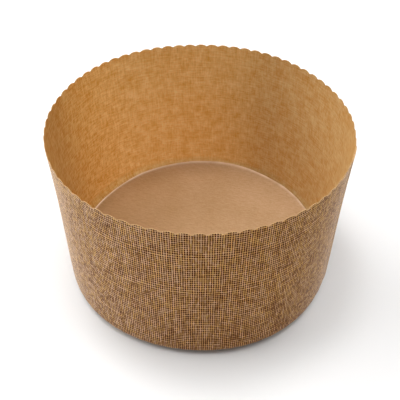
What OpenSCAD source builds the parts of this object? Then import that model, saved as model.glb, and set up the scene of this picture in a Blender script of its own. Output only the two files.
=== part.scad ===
// Round paper baking mold, free standing and open at the top.
// The wall is one strip of paper, rolled into a ring and glued where its ends
// overlap. Its top edge is cut in scallops. Its foot turns under in a rounded
// heel and ends in a hem, whose spare length is folded under in tucks. A disc of
// paper is glued on the hem from inside, with its edge curled up against the heel.
// The mold stands on z = 0 round the z axis, with the front towards -y.

/* [Wall] */
// Outside diameter across the tips of the scallops
top_d = 154; // [130:1:180]
// Outside diameter where the wall meets the heel
base_d = 153; // [130:1:180]
// Height from the table to the tips of the scallops
wall_h = 93; // [50:1:120]
// Thickness of the wall's paper
paper_t = 0.4; // [0.3:0.05:0.8]
// Outside radius of the heel where the wall turns under
heel_r = 6; // [4:0.5:9]

/* [Scalloped edge] */
// Scallops round the edge
scallops = 72; // [48:1:96]
// Depth of the valleys between the scallops
scallop_h = 1.15; // [0.8:0.05:1.8]

/* [Lap seam] */
// Width of the glued overlap of the strip's two ends
lap_w = 12; // [6:1:20]
// Bearing of the overlap's middle, from the right-hand side towards the back
lap_bearing = -18.5; // [-180:0.5:180]
// Height above the table at which the outer end of the strip stops
lap_foot = 1; // [0.8:0.1:5]

/* [Hem] */
// Width of the hem under the disc
hem_w = 10; // [6:0.5:16]
// Width of the sloping part of the hem, next to the heel
hem_rise_w = 2.5; // [1.5:0.1:4]
// Tucks gathered round the hem
tucks = 60; // [36:1:80]
// Thickness of a tuck, which lifts the hem's ply this far off the table
tuck_t = 0.35; // [0.2:0.05:0.6]
// Width of a tuck at the hem's inner edge
tuck_w = 2.4; // [1.5:0.1:3]
// Width of a tuck where it runs out at the heel
tuck_end_w = 0.5; // [0.3:0.1:1]
// Distance that a tuck stops short of the heel
tuck_back = 0.6; // [0.3:0.1:1.2]

/* [Base disc] */
// Thickness of the disc's paper
disc_t = 0.4; // [0.3:0.05:0.6]
// Height of the curled edge above the disc
curl_h = 2.6; // [0.6:0.1:2.8]
// Gap between the curled edge and the heel
curl_gap = 0.15; // [0.1:0.05:0.4]

/* [Hidden] */
$fn = 180;
top_r = top_d / 2;
base_r = base_d / 2;
// Radius of the ring on which the heel's bend is centred
heel_ring_r = base_r - heel_r;
hem_in_r = heel_ring_r - hem_w;
hem_flat_r = heel_ring_r - hem_rise_w;
// Amount that a cut runs past the face that it opens, and that joined forms share
over = 0.1;
// Each scallop's arc would peak this far above the edge, so its tip is a short flat
tip_trim = 0.03;
pitch = 2 * top_r * sin(180 / scallops);
arc_rise = scallop_h + tip_trim;
arc_r = (pow(pitch / 2, 2) + pow(arc_rise, 2)) / (2 * arc_rise);
arc_z = wall_h + tip_trim - arc_r;
tip_half = sqrt(pow(arc_r, 2) - pow(arc_r - tip_trim, 2));
lap_angle = lap_w / (PI * top_d) * 360;
disc_z = paper_t + tuck_t;
curl_top = disc_z + disc_t + curl_h;

// Quarter bend round the heel's ring, between two radii, in the plane of the section
module heel_bend(outer_r, inner_r) {
    translate([heel_ring_r, heel_r])
        intersection() {
            difference() {
                circle(outer_r);
                circle(inner_r);
            }
            translate([0, -outer_r]) square(outer_r);
        }
}

// Section of the strip: straight wall, bend and hem, all one ply thick
module strip_section() {
    polygon([
        [base_r - paper_t, heel_r],
        [base_r, heel_r],
        [top_r, wall_h],
        [top_r - paper_t, wall_h]
    ]);
    heel_bend(heel_r, heel_r - paper_t);
    polygon([
        [heel_ring_r, 0],
        [heel_ring_r, paper_t],
        [hem_flat_r, disc_z],
        [hem_in_r, disc_z],
        [hem_in_r, tuck_t],
        [hem_flat_r, tuck_t]
    ]);
}

// Section of the strip's outer end, lying on the wall from its foot to the edge
module lap_section() {
    polygon([
        [base_r - paper_t / 2, heel_r],
        [base_r + paper_t, heel_r],
        [top_r + paper_t, wall_h],
        [top_r - paper_t / 2, wall_h]
    ]);
    intersection() {
        heel_bend(heel_r + paper_t, heel_r - paper_t / 2);
        translate([heel_ring_r, lap_foot]) square(heel_r + paper_t);
    }
}

// Space under the hem that the tucks fill, from the table into the middle of the ply
module tuck_section() {
    middle = paper_t / 2;
    polygon([
        [hem_in_r, 0],
        [heel_ring_r - tuck_back, 0],
        [heel_ring_r - tuck_back, tuck_t * tuck_back / hem_rise_w + middle],
        [hem_flat_r, tuck_t + middle],
        [hem_in_r, tuck_t + middle]
    ]);
}

// Outline of one tuck from above: a narrow wedge, widest at the hem's inner edge
module tuck_outline() {
    polygon([
        [hem_in_r - over, 0],
        [heel_ring_r, 0],
        [heel_ring_r, tuck_end_w],
        [hem_in_r - over, tuck_w]
    ]);
}

// Folded wedges of paper under the hem, which take up its spare length
module hem_tucks() {
    intersection() {
        rotate_extrude() tuck_section();
        for (i = [0 : tucks - 1])
            rotate(i * 360 / tucks)
                translate([0, 0, -over])
                    linear_extrude(disc_z + over) tuck_outline();
    }
}

// Valley between two scallops: a slot with a convex arc on either side, cut
// through one side of the wall
module valley() {
    half_w = pitch / 2 - tip_half / 2;
    low = wall_h - scallop_h - 3 * over;
    translate([base_r / 2, 0, 0])
        rotate([90, 0, 90])
            linear_extrude(top_r)
                difference() {
                    translate([-half_w, low])
                        square([2 * half_w, wall_h + over - low]);
                    for (side = [-1, 1])
                        translate([side * pitch / 2, arc_z]) circle(arc_r);
                }
}

module side_wall() {
    color([0.66, 0.45, 0.26])
        difference() {
            union() {
                rotate_extrude() strip_section();
                rotate(lap_bearing - lap_angle / 2)
                    rotate_extrude(angle = lap_angle) lap_section();
                hem_tucks();
            }
            for (i = [0 : scallops - 1])
                rotate((i + 0.5) * 360 / scallops) valley();
        }
}

// Outline of a dish with a flat floor at the given height and a rounded edge that
// follows the heel's bend at the given radius, up to the top of the curl
module dish(floor_z, edge_r) {
    translate([0, floor_z]) square([heel_ring_r, curl_top - floor_z]);
    intersection() {
        translate([heel_ring_r, heel_r]) circle(edge_r);
        translate([heel_ring_r, floor_z]) square([heel_r, curl_top - floor_z]);
    }
}

module base_disc() {
    curl_r = heel_r - paper_t - curl_gap;
    color([0.74, 0.57, 0.42])
        rotate_extrude()
            difference() {
                dish(disc_z, curl_r);
                dish(disc_z + disc_t, curl_r - disc_t);
            }
}

side_wall();
base_disc();
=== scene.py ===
"""Round paper baking mold: a printed paper wall with a scalloped edge, and a pale base disc.

Lengths are in millimetres while a shape is worked out, and in metres in the meshes.
The mold stands on z = 0 round the z axis, with its front towards -y.
"""

import bpy
import numpy as np
from mathutils import Matrix, Vector


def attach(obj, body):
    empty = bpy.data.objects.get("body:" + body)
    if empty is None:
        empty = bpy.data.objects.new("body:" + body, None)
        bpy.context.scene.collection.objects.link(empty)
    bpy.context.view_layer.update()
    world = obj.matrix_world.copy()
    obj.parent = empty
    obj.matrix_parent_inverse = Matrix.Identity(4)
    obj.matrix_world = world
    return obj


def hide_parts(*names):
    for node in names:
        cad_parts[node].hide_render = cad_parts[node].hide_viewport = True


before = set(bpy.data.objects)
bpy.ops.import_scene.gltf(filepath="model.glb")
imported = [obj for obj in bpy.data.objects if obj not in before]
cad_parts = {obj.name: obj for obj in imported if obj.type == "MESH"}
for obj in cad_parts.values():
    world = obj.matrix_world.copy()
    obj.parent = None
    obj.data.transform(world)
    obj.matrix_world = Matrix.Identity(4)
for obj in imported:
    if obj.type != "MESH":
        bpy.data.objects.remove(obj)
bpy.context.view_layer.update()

MM = 0.001
TURN = 2 * np.pi

# The sizes of the CAD solids, in millimetres
TOP_R = 77.0
BASE_R = 76.5
WALL_H = 93.0
PAPER_T = 0.4
HEEL_R = 6.0
SCALLOPS = 72
SCALLOP_H = 1.15
TIP_TRIM = 0.03
LAP_BEARING = -18.5
LAP_W = 12.0
LAP_FOOT = 1.0
HEM_W = 10.0
HEM_RISE_W = 2.5
TUCKS = 60
TUCK_T = 0.35
TUCK_W = 2.4
TUCK_END_W = 0.5
TUCK_BACK = 0.6
DISC_T = 0.4
CURL_H = 2.6
CURL_GAP = 0.15

HEEL_RING_R = BASE_R - HEEL_R
HEM_IN_R = HEEL_RING_R - HEM_W
HEM_FLAT_R = HEEL_RING_R - HEM_RISE_W
DISC_Z = PAPER_T + TUCK_T
CURL_TOP = DISC_Z + DISC_T + CURL_H
STRIP_L = TURN * TOP_R
# Bearings of the strip's outer end and of its inner end, in radians
OUTER_END = np.radians(LAP_BEARING) - LAP_W / TOP_R / 2
INNER_END = np.radians(LAP_BEARING) + LAP_W / TOP_R / 2


def place_camera():
    """Stands at the front and above, and looks down at the mold at about 44 degrees."""
    pitch, turned_up, roll = 0.80923, 0.03858, -0.00698
    away = 4.59067 * TOP_R
    spot = np.array([0.0, -away * np.cos(pitch), away * np.sin(pitch) + 0.25 * TOP_R])
    sight = pitch - turned_up
    right = np.array([1.0, 0.0, 0.0])
    ahead = np.array([0.0, np.cos(sight), -np.sin(sight)])
    up = np.cross(right, ahead)
    across = right * np.cos(roll) - up * np.sin(roll)
    upward = up * np.cos(roll) + right * np.sin(roll)
    data = bpy.data.cameras.new("camera")
    data.lens = 54.0
    data.sensor_width = 36.0
    data.clip_start = 0.01
    camera = bpy.data.objects.new("camera", data)
    bpy.context.scene.collection.objects.link(camera)
    turned = Matrix(np.stack([across, upward, -ahead], axis=1).tolist())
    camera.matrix_world = Matrix.Translation(Vector(spot * MM)) @ turned.to_4x4()
    bpy.context.scene.camera = camera


place_camera()


class Value:
    """A number, a colour or a shader that a node gives. Sums and products of numbers add Math nodes."""

    def __init__(self, finish, socket):
        self.finish = finish
        self.socket = socket

    def __add__(self, other):
        return self.finish.maths("ADD", self, other)

    def __sub__(self, other):
        return self.finish.maths("SUBTRACT", self, other)

    def __rsub__(self, other):
        return self.finish.maths("SUBTRACT", other, self)

    def __mul__(self, other):
        return self.finish.maths("MULTIPLY", self, other)

    def __truediv__(self, other):
        return self.finish.maths("DIVIDE", self, other)

    def __abs__(self):
        return self.finish.maths("ABSOLUTE", self)

    __radd__ = __add__
    __rmul__ = __mul__


class Finish:
    """The nodes of one material or of the world."""

    def __init__(self, tree):
        self.tree = tree
        tree.nodes.clear()

    def node(self, kind, settings=None, values=None, out=0):
        """Adds a node, sets it up, fills or links its sockets, and gives one of its outputs."""
        made = self.tree.nodes.new(kind)
        for name, setting in (settings or {}).items():
            setattr(made, name, setting)
        for name, value in (values or {}).items():
            if isinstance(value, Value):
                self.tree.links.new(value.socket, made.inputs[name])
            else:
                made.inputs[name].default_value = value
        return Value(self, made.outputs[out]) if made.outputs else None

    def maths(self, operation, *values):
        return self.node("ShaderNodeMath", {"operation": operation}, dict(enumerate(values)))

    def most(self, one, other):
        return self.maths("MAXIMUM", one, other)

    def whole(self, value):
        return self.maths("FLOOR", value)

    def kept(self, value):
        """The value, held between 0 and 1."""
        return self.node("ShaderNodeClamp", values={0: value})

    def step(self, value, low, high):
        """0 up to low and 1 from high on, with a smooth rise between."""
        return self.node("ShaderNodeMapRange", {"interpolation_type": "SMOOTHSTEP"},
                         {0: value, 1: low, 2: high})

    def point(self, x, y):
        return self.node("ShaderNodeCombineXYZ", values={0: x, 1: y})

    def parts(self, place):
        """The x, y and z of a place."""
        outputs = self.node("ShaderNodeSeparateXYZ", values={0: place}).socket.node.outputs
        return [Value(self, output) for output in outputs]

    def cloud(self, place, scale=1.0, detail=0.0, roughness=0.5):
        """Soft noise of about 0.3 to 0.7 over the x and y of a place."""
        return self.node("ShaderNodeTexNoise", {"noise_dimensions": "2D"},
                         {"Vector": place, "Scale": scale, "Detail": detail, "Roughness": roughness})

    def chance(self, x, y):
        """A number from 0 to 1 that is another one for each whole x and y."""
        return self.node("ShaderNodeTexWhiteNoise", {"noise_dimensions": "2D"},
                         {"Vector": self.point(x, y)})

    def blend(self, amount, low, high, mode="MIX"):
        """Goes from the colour low to the colour high as amount goes from 0 to 1."""
        return self.node("ShaderNodeMix", {"data_type": "RGBA", "blend_type": mode},
                         {0: amount, 6: low, 7: high}, out=2)

    def tinted(self, under, tint):
        """One colour times another."""
        return self.blend(1.0, under, tint, mode="MULTIPLY")

    def bump(self, height, distance):
        return self.node("ShaderNodeBump", values={
            "Height": height, "Distance": distance, "Strength": 1.0})


def colour(red, green, blue):
    return (red, green, blue, 1.0)


# The tint that changes nothing
PLAIN = colour(1.0, 1.0, 1.0)


def paper_finish(name, paint, **fixed):
    """A material whose nodes paint(finish) makes: it gives what varies, by the shader's socket names."""
    material = bpy.data.materials.new(name)
    material.use_nodes = True
    finish = Finish(material.node_tree)
    shader = finish.node("ShaderNodeBsdfPrincipled", values={**fixed, **paint(finish)})
    finish.node("ShaderNodeOutputMaterial", values={"Surface": shader})
    return material


# Upright threads of the print, all round the wall
THREADS_ROUND = 446
# Bearings, in degrees, of the sides where painted light makes the print and the kraft palest, and where
# a painted warm glow makes the kraft reddest
LIT_PRINT_SIDE = 205
LIT_KRAFT_SIDE = 115
GLOW_KRAFT_SIDE = 185


def strip_place(finish):
    """Millimetres along the paper strip and up it, from the piece's own map."""
    place = finish.node("ShaderNodeUVMap", {"uv_map": "strip"})
    return finish.parts(place)[:2]


def threads(finish, across, along, seed, run, thin, thick, steady):
    """One set of parallel threads. across counts threads, along is in millimetres.

    A thread is a soft band about its own middle, which wanders a little. Its width swells slowly
    along it, and its lightness changes from one short run to the next, as slubs do. The share
    steady of its lightness stays the same over its whole length. Each thread reads the noise in a
    lane of its own.
    """
    lane_gap, soft = 7.31, 0.09
    number = finish.whole(across)
    lane = number * lane_gap + seed
    wander = finish.cloud(finish.point(lane, along / 5.0)) - 0.5
    slub = finish.step(finish.cloud(finish.point(lane + 3.7, along / run), detail=1.0), 0.25, 0.75)
    off = abs(across - number - 0.5 + wander * 0.25)
    half = thin + (thick - thin) * slub
    cover = 1.0 - finish.step(off, half - soft, half + soft)
    own = finish.chance(number, seed)
    piece = finish.chance(number + seed, finish.whole(along * 2.0 / run + own * 9.0))
    return number, cover, finish.kept(0.25 * slub + steady * own + (0.75 - steady) * piece)


def towards(finish, along, bearing, low, high):
    """1 on the side of the wall at a bearing in degrees, 0 far from it, by the cosine between them."""
    away = along * (1.0 / TOP_R) + (OUTER_END - np.radians(bearing))
    return finish.step(finish.maths("COSINE", away), low, high)


def linen(finish, along, up):
    """Two crossed sets of threads, as on a coarse linen cloth: the print's lightness and its tint.

    At each crossing the upright or the level thread lies on top by turns. The two add up there.
    """
    across = along * (THREADS_ROUND / STRIP_L)
    column, upright, upright_light = threads(finish, across, up, 11.3, 9.0, 0.15, 0.21, 0.30)
    uneven = up * (0.62 + 0.0006 * up) + 0.7 * finish.cloud(finish.point(3.3, up / 6.0))
    row, level, level_light = threads(finish, uneven, along, 57.1, 7.0, 0.12, 0.18, 0.22)
    turn_about = finish.maths("PINGPONG", column + row, 1.0)
    upright_shine = upright * (0.43 + 0.46 * upright_light) * (0.85 + 0.15 * turn_about)
    level_shine = level * (0.40 + 0.44 * level_light) * (1.0 - 0.15 * turn_about)
    shine = 1.0 - (1.0 - upright_shine) * (1.0 - level_shine)
    tint = finish.chance(column, finish.whole(up / 2.5 + finish.chance(column, 4.0) * 5.0))
    return shine, tint, finish.chance(column, row)


def print_paint(finish):
    """The linen print on the outside: gold and cream threads, which dim to brown over plum gaps.

    Painted light makes the print paler towards the left, with a cooler painted sheen there and a warmer
    one on the right, and the print is paler up the wall and darker towards the bottom. The contrast of
    threads and gaps is strongest low down and on the two flanks, where single crossings differ most too.
    """
    along, up = strip_place(finish)
    shine, tint, cell = linen(finish, along, up)
    speck = finish.cloud(finish.point(along * 1.1, up * 1.7), detail=1.0) - 0.5
    flank = finish.step(abs(finish.maths("COSINE", along * (1.0 / TOP_R) + OUTER_END)), 0.2, 0.8)
    # Painted light: side is 1 on the left, where the print is painted paler, and falls to 0 on the right
    side = towards(finish, along, LIT_PRINT_SIDE, -0.8, 0.9)
    # Painted light from the left, times a rise up the wall that leaves the print darker towards the
    # bottom
    painted_light_and_height = (0.825 + 0.0040 * up) * (0.96 + 0.15 * side)
    shine = 0.4 + (shine - 0.4) * (1.55 - 0.0060 * up + 0.58 * flank)
    grit = 0.97 + (cell - 0.5) * (0.22 + 0.60 * flank)
    shine = finish.kept(shine * (1.0 + speck * (0.35 + 1.15 * flank)) * grit * painted_light_and_height)
    gap = finish.blend(cell, colour(0.038, 0.011, 0.005), colour(0.096, 0.027, 0.012))
    brown = finish.blend(tint, colour(0.292, 0.115, 0.040), colour(0.348, 0.148, 0.040))
    gold = finish.blend(finish.step(tint, 0.2, 0.8),
                        colour(0.735, 0.455, 0.156), colour(0.735, 0.495, 0.283))
    ink = finish.blend(finish.step(shine, 0.0, 0.5), gap, brown)
    ink = finish.blend(finish.step(shine, 0.35, 1.0), ink, gold)
    # Painted sheen: a paler, cooler tint on the lit left and a warmer one on the right
    ink = finish.tinted(ink, finish.blend(side, colour(1.06, 0.95, 0.73), colour(1.08, 1.06, 1.13)))
    grain = finish.cloud(finish.point(along, up), scale=2.3, detail=2.0)
    relief = finish.bump(shine + 0.6 * grain, 0.000012)
    return {"Base Color": ink, "Roughness": 0.44 + 0.16 * grain, "Normal": relief}


def kraft_paint(finish):
    """The plain inside of the wall: warm mottled kraft, with the print faintly showing through.

    Short fibres lie both ways, and show most on the left. Painted light makes the paper lighter where it
    curves round the back than at its right-hand side, a painted warm glow of light through the paper
    makes it redder on the left, and painted shade darkens it in the crease of the heel.
    """
    along, up = strip_place(finish)
    place = finish.point(along, up)
    clouds = finish.cloud(place, scale=0.10, detail=3.0, roughness=0.6)
    patches = finish.cloud(place, scale=0.20, detail=1.0)
    lying = finish.cloud(finish.point(along * 0.16, up), detail=2.0, roughness=0.7)
    standing = finish.cloud(finish.point(along, up * 0.16), detail=2.0, roughness=0.7)
    shine, _, _ = linen(finish, along, up)
    where = finish.step(finish.cloud(place, scale=0.03), 0.35, 0.65)
    # leftward is 1 on the left, where the painted glow lies and the fibres show most
    leftward = towards(finish, along, GLOW_KRAFT_SIDE, 0.3, 0.95)
    fibres = (lying + standing - 1.0) * (1.1 + 0.9 * leftward)
    tone = finish.kept(0.5 + (clouds - 0.5) * 0.6 + (patches - 0.5) * 0.45 + fibres
                       + (shine - 0.35) * where * 0.25)
    kraft = finish.blend(tone, colour(0.615, 0.306, 0.064), colour(0.800, 0.561, 0.265))
    # Painted light: lighter round the back left, and painted shade darker towards the right-hand side
    back = finish.blend(towards(finish, along, LIT_KRAFT_SIDE, 0.46, 1.05),
                        colour(0.735, 0.735, 0.755), colour(1.34, 1.41, 1.45))
    # Painted glow: the warm, redder tint of light shining through the paper on the left
    left = finish.blend(leftward, PLAIN, colour(0.92, 0.80, 0.61))
    # Painted shade: darker low down in the crease of the heel; the next line makes the paper near the
    # edge slightly darker and warmer
    height = finish.blend(finish.step(up, 0.0, 8.0), colour(0.55, 0.52, 0.46), PLAIN)
    height = finish.blend(finish.step(up, 65.0, 92.0), height, colour(0.99, 0.95, 0.90))
    hue = finish.blend(finish.cloud(place, scale=0.9, detail=2.0),
                       colour(1.06, 0.96, 0.86), colour(0.94, 1.04, 1.14))
    for tint in (back, left, hue, height):
        kraft = finish.tinted(kraft, tint)
    relief = finish.bump(lying + standing, 0.00002)
    return {"Base Color": kraft, "Roughness": 0.50 + 0.2 * patches, "Normal": relief}


def cut_paint(finish):
    """The raw cut edge of the paper: a dull brown, uneven with fibres."""
    along, up = strip_place(finish)
    fibres = finish.cloud(finish.point(along, up), scale=1.6, detail=2.0)
    return {"Base Color": finish.blend(fibres, colour(0.29, 0.165, 0.07), colour(0.50, 0.32, 0.15))}


def disc_paint(finish):
    """The base disc: pale kraft with short slanting fibres.

    Painted light makes it paler to the right and towards the back. Its curled edge is paler, partly as
    its own pale rim and partly as a painted highlight.
    """
    ground = finish.node("ShaderNodeTexCoord", out=3)
    turned = finish.node("ShaderNodeMapping", {"vector_type": "TEXTURE"}, {
        "Vector": ground, "Rotation": (0.0, 0.0, -0.30), "Scale": (0.0045, 0.0011, 0.01)})
    streaks = finish.cloud(turned, detail=3.0, roughness=0.6)
    clouds = finish.cloud(ground, scale=45.0, detail=2.0)
    fibres = finish.cloud(ground, scale=900.0, detail=2.0)
    tone = finish.kept(0.5 + (streaks - 0.5) * 1.1 + (clouds - 0.5) * 0.6 + (fibres - 0.5) * 0.7)
    pale = finish.blend(tone, colour(0.249, 0.141, 0.059), colour(0.343, 0.211, 0.115))
    across, inward, _ = finish.parts(ground)
    # Painted light: paler to the right, darker to the left
    side = finish.blend(finish.step(across, -0.06, 0.06),
                        colour(0.96, 0.93, 0.84), colour(1.18, 1.25, 1.32))
    pale = finish.tinted(pale, side)
    # Painted light: paler towards the back
    back = finish.blend(finish.step(inward, 0.0, 0.068), PLAIN, colour(1.16, 1.17, 1.21))
    pale = finish.tinted(pale, back)
    # The curl mark: the edge's own pale rim together with a painted highlight, strongest at the back
    # left
    curl = finish.node("ShaderNodeAttribute", {"attribute_name": "curl"}, out=2)
    pale = finish.blend(curl * 0.80, pale, colour(0.84, 0.67, 0.52))
    relief = finish.bump(streaks, 0.00006)
    return {"Base Color": pale, "Roughness": 0.55 + 0.2 * fibres, "Normal": relief}


linen_print = paper_finish("linen_print", print_paint,
                           **{"Specular IOR Level": 0.0, "Sheen Weight": 0.43, "Sheen Roughness": 0.34,
                              "Sheen Tint": colour(1.0, 0.87, 0.75)})
kraft_inside = paper_finish("kraft_inside", kraft_paint, **{"Specular IOR Level": 0.2})
cut_edge = paper_finish("cut_edge", cut_paint,
                        **{"Roughness": 0.8, "Specular IOR Level": 0.1, "Sheen Weight": 0.1})
pale_kraft = paper_finish("pale_kraft", disc_paint, **{"Specular IOR Level": 0.2})


def smooth_step(x, low, high):
    """0 below low, 1 above high, and t * t * (3 - 2 * t) between them."""
    t = np.clip((x - low) / (high - low), 0.0, 1.0)
    return t * t * (3.0 - 2.0 * t)


def waves(angle, height, seed, orders, lean):
    """A sum of cosines round the ring with seeded sizes and phases, which lean with the height."""
    dice = np.random.default_rng(seed)
    total = np.zeros(np.broadcast(angle, height).shape)
    for order in orders:
        size, phase, slant = dice.uniform(0.5, 1.0), dice.uniform(0, TURN), dice.uniform(-lean, lean)
        total += size * np.cos(order * angle + phase + slant * height)
    return total / len(orders)


def scallop_top(angle):
    """Height of the edge: 72 shallow arcs side by side, with a narrow valley between neighbours."""
    width = TURN / SCALLOPS
    off = (np.mod(angle / width + 0.5, 1.0) - 0.5) * 2 * TOP_R * np.sin(width / 2)
    rise = SCALLOP_H + TIP_TRIM
    half = TOP_R * np.sin(width / 2)
    arc_r = (half**2 + rise**2) / (2 * rise)
    return np.minimum(WALL_H, WALL_H + TIP_TRIM - arc_r + np.sqrt(arc_r**2 - off**2))


def out_of_round(angle, share):
    """How far the ring of paper stands off a true circle, at a share of the way from heel to edge.

    The upper edge is an oval that leans to the back left, with shallow waves along its back. The
    foot is pressed in at the middle of its front and stands out at the two corners beside that, and
    its back half is round. Between edge and foot the wall is a little waisted.
    """
    def lobes(count, size, bearing):
        return size * np.cos(count * (angle - np.radians(bearing)))

    edge = 0.23 + lobes(1, 0.56, 137) + lobes(2, 0.58, 163) + lobes(3, 0.16, 26)
    edge = edge + np.clip(np.sin(angle), 0, 1) * lobes(5, 0.50, 60)
    foot = np.clip(-np.sin(angle), 0, 1) * (0.35 - lobes(4, 0.75, 262))
    return foot + (edge - foot) * share - 0.85 * share * np.sin(np.pi * share)


def wall_columns():
    """Bearings of the wall's columns, from the strip's outer end round to it again.

    Twelve columns to a scallop, and two close together at each end of the strip.
    """
    hair = 0.0002
    even = np.arange(SCALLOPS * 12) * TURN / (SCALLOPS * 12)
    even = np.mod(even - OUTER_END, TURN) + OUTER_END
    even = even[np.min(np.abs(even[:, None] - [OUTER_END, INNER_END, OUTER_END + TURN]), axis=1) > 0.002]
    ends = [OUTER_END, INNER_END - hair, INNER_END + hair, OUTER_END + TURN - 2 * hair]
    return np.sort(np.concatenate([even, ends]))


def wall_shape():
    """Radius, height and place on the strip of each row and column of the wall, and the rows' bands.

    The rows run along the paper's whole section: out along the underside of the hem, up the heel and
    the outside, over the scalloped edge, down the inside and back in along the top of the hem. The
    strip's outer end lies on the wall as a second ply, and thins out over its last 3 mm.
    """
    angle = wall_columns()[None, :]
    ramp, feather = 4.5 / TOP_R, 3.0 / TOP_R
    lap_out = np.where(angle < INNER_END, 1.0, 1.0 - smooth_step(angle, INNER_END, INNER_END + ramp))
    lap_out = lap_out * (0.25 + 0.75 * smooth_step(angle, OUTER_END, OUTER_END + feather))
    lap_out[0, -1] = 0.0
    lap_in = np.where(angle < INNER_END, 0.0, 1.0 - smooth_step(angle, INNER_END, INNER_END + ramp))
    edge_z = scallop_top(angle)
    soft = 0.06
    foot_turn = -np.arcsin(1 - LAP_FOOT / HEEL_R)

    def rise(radius):
        return TUCK_T * np.clip((HEEL_RING_R - radius) / HEM_RISE_W, 0, 1)

    def tucked(radius):
        """How far the underside hangs down to the table: fully in each tuck, which narrows outwards."""
        share = np.clip((radius - HEM_IN_R) / (HEM_W - TUCK_BACK), 0, 1)
        half = (TUCK_W + (TUCK_END_W - TUCK_W) * share) / 2
        off = (np.mod(angle / TURN * TUCKS + 0.5, 1.0) - 0.5) * TURN / TUCKS * radius
        return smooth_step(half - np.abs(off), -0.25, 0.15)

    def straight_wall(height):
        """Outside radius of the straight part, with faint ripples that fade out at the heel."""
        share = (height - HEEL_R) / (WALL_H - HEEL_R)
        ripples = 0.10 * waves(angle, height, 8, (11, 14, 17, 23, 31), 0.05)
        ripples = ripples * smooth_step(height, HEEL_R, 40.0)
        return BASE_R + (TOP_R - BASE_R) * share + out_of_round(angle, share) + ripples

    def gathers(height):
        """Shallow ripples where the heel starts to be gathered into the tucks."""
        return 0.07 * np.cos(TUCKS * angle) * (1 - smooth_step(height, 1.0, 9.0))

    radii, heights, places, bands = [], [], [], []

    def add(band, radius, height, place):
        radius, height, place = np.broadcast_arrays(radius + 0 * angle, height, place)
        radii.append(radius)
        heights.append(height)
        places.append(place)
        bands.extend([band] * len(radius))

    arc = HEEL_R * np.pi / 2
    hem_r = np.linspace(HEM_IN_R, HEEL_RING_R, 13)[:-1, None]
    add("print", hem_r, rise(hem_r) * (1 - tucked(hem_r)), HEEL_R - arc - (HEEL_RING_R - hem_r))

    bend = np.sort(np.append(np.linspace(-np.pi / 2, 0, 11), [foot_turn, foot_turn + 0.02]))[:, None]
    lap = np.where(bend > foot_turn + 0.01, lap_out, 0.0) * PAPER_T
    heel_z = HEEL_R + (HEEL_R + lap) * np.sin(bend)
    pushed = out_of_round(angle, 0.0)
    add("print", HEEL_RING_R + (HEEL_R + lap + pushed + gathers(heel_z)) * np.cos(bend), heel_z,
        HEEL_R + HEEL_R * bend)

    share = np.linspace(0, 1, 29)[1:, None] ** 0.9
    up = HEEL_R + (edge_z - soft - HEEL_R) * share
    add("print", straight_wall(up) + lap_out * PAPER_T + gathers(up), up, up)

    rim = straight_wall(edge_z)
    outer, inner = rim + lap_out * PAPER_T, rim - PAPER_T + lap_in * PAPER_T
    bands[-1] = "cut"
    add("cut", outer - soft, edge_z, edge_z)
    add("cut", inner + soft, edge_z, edge_z)

    share = np.linspace(1, 0, 23)[:, None] ** 0.9
    down = HEEL_R + (edge_z - soft - HEEL_R) * share
    add("kraft", straight_wall(down) - PAPER_T + lap_in * PAPER_T, down, down)

    bend = np.linspace(0, -np.pi / 2, 10)[1:, None]
    inner_r = HEEL_R - PAPER_T + lap_in * PAPER_T * smooth_step(bend, -0.9, 0.0)
    add("kraft", HEEL_RING_R + (inner_r + pushed) * np.cos(bend), HEEL_R + inner_r * np.sin(bend),
        HEEL_R + HEEL_R * bend)

    hem_r = np.array([HEEL_RING_R - 0.8, HEEL_RING_R - 1.7, HEM_FLAT_R, 65.0, HEM_IN_R])[:, None]
    add("kraft", hem_r, PAPER_T + rise(hem_r), HEEL_R - arc - (HEEL_RING_R - hem_r))
    bands[-1] = "cut"
    return angle, np.concatenate(radii), np.concatenate(heights), np.concatenate(places), bands


def ring_faces(rows, columns, closed):
    """Corner numbers of the four-sided faces between neighbouring rows and columns of a ring."""
    row = np.arange(rows if closed else rows - 1)[:, None]
    column = np.arange(columns)[None, :]
    after, above = (column + 1) % columns, (row + 1) % rows
    corners = [row * columns + column, row * columns + after,
               above * columns + after, above * columns + column]
    return np.stack([np.broadcast_to(c, (len(row), columns)) for c in corners], axis=-1)


def new_piece(name, points, faces, materials):
    """A mesh object in metres, smooth except across its sharp folds and cut corners."""
    mesh = bpy.data.meshes.new(name)
    mesh.from_pydata(points * MM, [], faces)
    mesh.shade_smooth()
    mesh.set_sharp_from_angle(angle=np.radians(40))
    for material in materials:
        mesh.materials.append(material)
    piece = bpy.data.objects.new(name, mesh)
    bpy.context.scene.collection.objects.link(piece)
    return piece


def make_wall():
    """The wall, from its grid of rows and columns, with the strip's own map in millimetres."""
    angle, radius, height, place, bands = wall_shape()
    rows, columns = radius.shape
    points = np.stack([radius * np.cos(angle), radius * np.sin(angle), height], axis=-1)
    faces = ring_faces(rows, columns, closed=True)
    piece = new_piece("paper_wall", points.reshape(-1, 3), faces.reshape(-1, 4).tolist(),
                      [linen_print, kraft_inside, cut_edge])
    along = (angle[0] - OUTER_END) * TOP_R
    after = np.append(along[1:], STRIP_L)
    level, above = place, np.roll(place, -1, axis=0)
    level_after, above_after = np.roll(level, -1, axis=1), np.roll(above, -1, axis=1)
    corner_u = np.broadcast_to(np.stack([along, after, after, along], axis=-1), (rows, columns, 4))
    corner_v = np.stack([level, level_after, above_after, above], axis=-1)
    strip = piece.data.uv_layers.new(name="strip")
    strip.data.foreach_set("uv", np.stack([corner_u, corner_v], axis=-1).astype(np.float32).ravel())
    numbers = [["print", "kraft", "cut"].index(band) for band in bands]
    slots = np.repeat(numbers, columns).reshape(rows, columns)
    ply_ends = np.where(np.diff(np.append(angle[0], angle[0, 0] + TURN)) < 0.0005)[0]
    slots[:, ply_ends] = 2
    piece.data.polygons.foreach_set("material_index", slots.ravel().astype(np.int32))
    return piece


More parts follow.
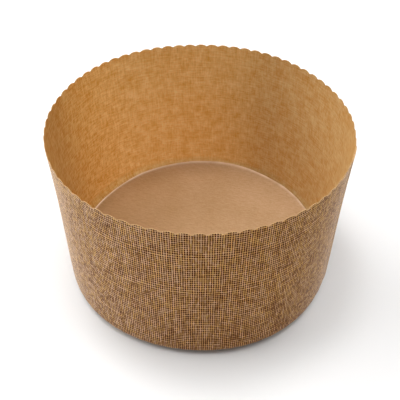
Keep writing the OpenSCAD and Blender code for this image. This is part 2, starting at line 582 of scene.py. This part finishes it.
def make_disc():
    """The base disc: flat on the hem, with its edge curled up against the heel.

    Rows run from the middle of the top out to the curl, round its cut edge and back underneath. The
    curl is a quarter bend cut short, lower at the sides than at the front and back. Between the
    creases of its edge it runs a little straighter.
    """
    columns = 540
    angle = (np.arange(columns) * TURN / columns)[None, :]
    dice = np.random.default_rng(21)
    creases = np.sort(dice.uniform(0, TURN, 26))
    nearest = np.searchsorted(creases, angle[0]) % len(creases)
    gap = np.mod(creases[nearest] - creases[nearest - 1], TURN)
    share = np.mod(creases[nearest] - angle[0], TURN) / gap
    flattened = 2.2 * np.minimum(gap, 0.5) ** 2
    straight = (4 * share * (1 - share) * flattened)[None, :]
    ends = (0.78 + 0.05 * np.cos(angle - np.radians(20)) + 0.18 * np.cos(2 * (angle - np.radians(80)))
            + 0.02 * waves(angle, 0, 3, (5, 9, 13, 22, 37), 0))
    outer_r = HEEL_R - PAPER_T - CURL_GAP
    bend_z = DISC_Z + outer_r
    full = np.arccos((bend_z - CURL_TOP) / (outer_r - DISC_T))
    reach = full * ends
    pushed = out_of_round(angle, 0.0)

    def sway(radius):
        """The middle of the disc lies unevenly, by up to a quarter of a millimetre."""
        return 0.25 * (1 - smooth_step(radius, 30, 66)) * waves(angle, radius, 14, (1, 2, 3), 0.09)

    flat_r = np.concatenate([np.linspace(1.5, 60, 24), np.linspace(62, HEEL_RING_R, 6)])[:, None]
    bend = np.linspace(0, 1, 9)[1:, None]
    curl_r = outer_r - DISC_T
    curl = reach * bend
    under = reach * bend[::-1]
    flat_top = np.broadcast_to(flat_r, (len(flat_r), columns))
    flat_low = flat_top[::-1]
    radius = np.concatenate([
        flat_top,
        HEEL_RING_R + (curl_r + pushed) * np.sin(curl) - straight * bend**2,
        HEEL_RING_R + (outer_r + pushed) * np.sin(under) - straight * bend[::-1]**2,
        flat_low])
    height = np.concatenate([
        DISC_Z + DISC_T + sway(flat_top),
        bend_z - curl_r * np.cos(curl),
        bend_z - outer_r * np.cos(under),
        DISC_Z + sway(flat_low)])
    rows = len(radius)
    points = np.stack([radius * np.cos(angle), radius * np.sin(angle), height], axis=-1).reshape(-1, 3)
    middle = [[0, 0, height[0].mean()], [0, 0, height[-1].mean()]]
    faces = ring_faces(rows, columns, closed=False).reshape(-1, 4)[:, ::-1].tolist()
    first, last = np.arange(columns), (rows - 1) * columns + np.arange(columns)
    top, low = rows * columns, rows * columns + 1
    faces += np.stack([np.full(columns, top), first, np.roll(first, -1)], axis=-1).tolist()
    faces += np.stack([np.full(columns, low), np.roll(last, -1), last], axis=-1).tolist()
    piece = new_piece("paper_disc", np.concatenate([points, middle]), faces, [pale_kraft])
    pale = np.zeros((rows, columns))
    # Paler near the cut edge: a pale rim with a painted highlight, strongest at the back left and uneven
    # along the edge
    highlight_and_rim = (0.55 + 0.45 * np.cos(angle - np.radians(125))
             + 0.45 * waves(angle, 0, 5, (7, 12, 19, 29, 41, 57), 0))
    near_edge = smooth_step(np.concatenate([bend, bend[::-1]]), 0.6, 1.0)
    pale[len(flat_r):-len(flat_r)] = near_edge * np.clip(highlight_and_rim, 0, 1)
    pale_rim_and_highlight = piece.data.attributes.new("curl", "FLOAT", "POINT")
    pale_rim_and_highlight.data.foreach_set("value", np.append(pale.ravel(), [0, 0]).astype(np.float32))
    return piece


wall = make_wall()
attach(wall, "root")
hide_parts("side_wall")

disc = make_disc()
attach(disc, "root")
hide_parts("base_disc")


def seen_directly(finish):
    """1 for what the camera, a gloss or a glass sees, 0 for the light that falls on things."""
    rays = finish.node("ShaderNodeLightPath").socket.node.outputs
    camera, gloss, glass = [Value(finish, rays[name]) for name in (
        "Is Camera Ray", "Is Glossy Ray", "Is Transmission Ray")]
    return finish.most(finish.most(camera, gloss), glass)


def make_floor():
    """A pale floor that keeps the shadow, and goes over into the white backdrop far from the mold."""
    size, low = 3.0, -0.0001
    mesh = bpy.data.meshes.new("floor")
    corners = [(-size, -size, low), (size, -size, low), (size, size, low), (-size, size, low)]
    mesh.from_pydata(corners, [], [(0, 1, 2, 3)])
    material = bpy.data.materials.new("white_floor")
    material.use_nodes = True
    finish = Finish(material.node_tree)
    matt = finish.node("ShaderNodeBsdfDiffuse", values={"Color": colour(0.72, 0.72, 0.72)})
    place = finish.node("ShaderNodeTexCoord", out=3)
    away = finish.node("ShaderNodeVectorMath", {"operation": "LENGTH"}, {0: place}, out=1)
    lift = finish.node("ShaderNodeEmission", values={
        "Strength": seen_directly(finish) * finish.step(away, 0.35, 0.9)})
    both = finish.node("ShaderNodeAddShader", values={0: matt, 1: lift})
    finish.node("ShaderNodeOutputMaterial", values={"Surface": both})
    mesh.materials.append(material)
    floor = bpy.data.objects.new("floor", mesh)
    bpy.context.scene.collection.objects.link(floor)


def light_the_scene():
    """Two lamps overhead, five high ones round the mold, and a low one on the left.

    Those behind on the left and overhead are the strongest. All are white, and wide but for the
    small one overhead, which gives the shadows an edge. The world adds a little light from all round.
    """
    world = bpy.data.worlds.new("studio")
    world.use_nodes = True
    bpy.context.scene.world = world
    finish = Finish(world.node_tree)
    soft = finish.node("ShaderNodeBackground", values={"Color": colour(1, 1, 1), "Strength": 0.02})
    white = finish.node("ShaderNodeBackground", values={"Color": colour(1, 1, 1), "Strength": 1.0})
    mixed = finish.node("ShaderNodeMixShader", values={0: seen_directly(finish), 1: soft, 2: white})
    finish.node("ShaderNodeOutputWorld", values={"Surface": mixed})
    lamps = {
        "overhead": ((0.0, 0.0, 1.1), 0.70, 5.1),
        "overhead_small": ((-0.1, 0.15, 1.1), 0.25, 2.4),
        "behind_left": ((-0.5, 0.5, 0.85), 0.60, 5.4),
        "behind_right": ((0.5, 0.5, 0.85), 0.60, 3.6),
        "left_high": ((-0.6, 0.0, 0.85), 0.60, 4.4),
        "right_high": ((0.6, 0.0, 0.85), 0.60, 3.1),
        "left_low": ((-0.95, 0.0, 0.35), 0.60, 2.3),
        "front": ((0.0, -0.65, 0.85), 0.60, 1.7)}
    for name, (spot, size, energy) in lamps.items():
        data = bpy.data.lights.new(name, "AREA")
        data.shape = "DISK"
        data.size = size
        data.energy = energy
        lamp = bpy.data.objects.new(name, data)
        lamp.location = Vector(spot)
        lamp.rotation_euler = (Vector((0, 0, 0.04)) - Vector(spot)).to_track_quat("-Z", "Y").to_euler()
        bpy.context.scene.collection.objects.link(lamp)


make_floor()
light_the_scene()
bpy.context.scene.view_settings.view_transform = "Standard"
